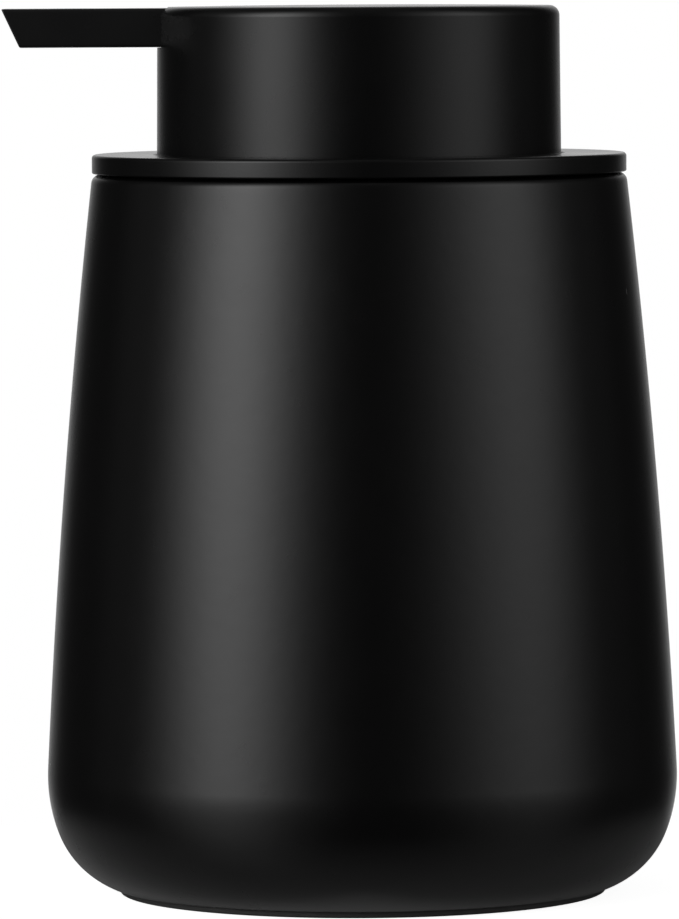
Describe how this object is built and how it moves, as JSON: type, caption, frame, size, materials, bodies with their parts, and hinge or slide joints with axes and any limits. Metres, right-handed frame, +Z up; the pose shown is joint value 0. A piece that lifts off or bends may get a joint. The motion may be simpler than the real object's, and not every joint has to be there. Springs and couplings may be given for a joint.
{
  "type": "soap pump dispenser",
  "caption": "Stoneware counter dispenser for liquid soap with a flat disc lid, a large plunging cylinder head, a flat spout and a spring-return lotion pump.",
  "frame": {"origin": "centre of the base pad's underside, on the surface that the dispenser stands on", "axes": "+Z up along the jar's axis, the spout points to -X, Y completes the right-handed frame"},
  "size_m": [0.0852, 0.0802, 0.1129],
  "materials": {
    "jar": "near-black satin glaze over stoneware, a few tiny pits",
    "base_pad": "matt dark grey foam rubber",
    "lid_disc": "near-black satin powder coat",
    "guide_cup": "black moulded polypropylene",
    "mouth_seal": "black silicone",
    "pump_gasket": "translucent white soft washer",
    "pump_housing": "natural polypropylene, slightly translucent",
    "lock_nut": "black moulded plastic",
    "stem_guide": "natural polypropylene",
    "stem_wiper": "soft white ring",
    "ball_cage": "natural polypropylene",
    "inlet_ball": "polished stainless ball",
    "dip_tube": "natural polyethylene tube, translucent",
    "return_spring": "stainless spring wire",
    "piston": "white polyethylene",
    "stem": "black polypropylene",
    "outlet_ball": "polished stainless ball",
    "actuator_core": "black moulded plastic",
    "spout": "near-black satin soft-touch",
    "spout_seal": "soft white washer",
    "head_shell": "near-black satin soft-touch"
  },
  "bodies": {
    "jar": {"jar": "jar", "base_pad": "base_pad"},
    "lid": {"lid_disc": "lid_disc", "guide_cup": "guide_cup", "mouth_seal": "mouth_seal", "pump_gasket": "pump_gasket", "pump_housing": "pump_housing", "lock_nut": "lock_nut", "stem_guide": "stem_guide", "stem_wiper": "stem_wiper", "ball_cage": "ball_cage", "dip_tube": "dip_tube", "return_spring": "return_spring"},
    "plunger": {"piston": "piston"},
    "head": {"stem": "stem", "actuator_core": "actuator_core", "spout": "spout", "spout_seal": "spout_seal", "head_shell": "head_shell"},
    "inlet_valve": {"inlet_ball": "inlet_ball"},
    "outlet_valve": {"outlet_ball": "outlet_ball"}
  },
  "joints": [
    {"name": "lid_lift", "type": "slide", "parent": "jar", "child": "lid", "axis": [0, 0, 1], "range_m": [0, 0.1]},
    {"name": "head_press", "type": "slide", "parent": "lid", "child": "plunger", "axis": [0, 0, -1], "range_m": [0, 0.0115], "stiffness_N_per_m": 250, "springref_m": -0.008, "deforming": ["return_spring"]},
    {"name": "head_swivel", "type": "hinge", "parent": "plunger", "child": "head", "pos_m": [0, 0, 0.09], "axis": [0, 0, 1], "continuous": true},
    {"name": "inlet_ball_lift", "type": "slide", "parent": "lid", "child": "inlet_valve", "axis": [0, 0, 1], "range_m": [0, 0.0015]},
    {"name": "outlet_ball_lift", "type": "slide", "parent": "head", "child": "outlet_valve", "axis": [0, 0, 1], "range_m": [0, 0.0012]}
  ]
}
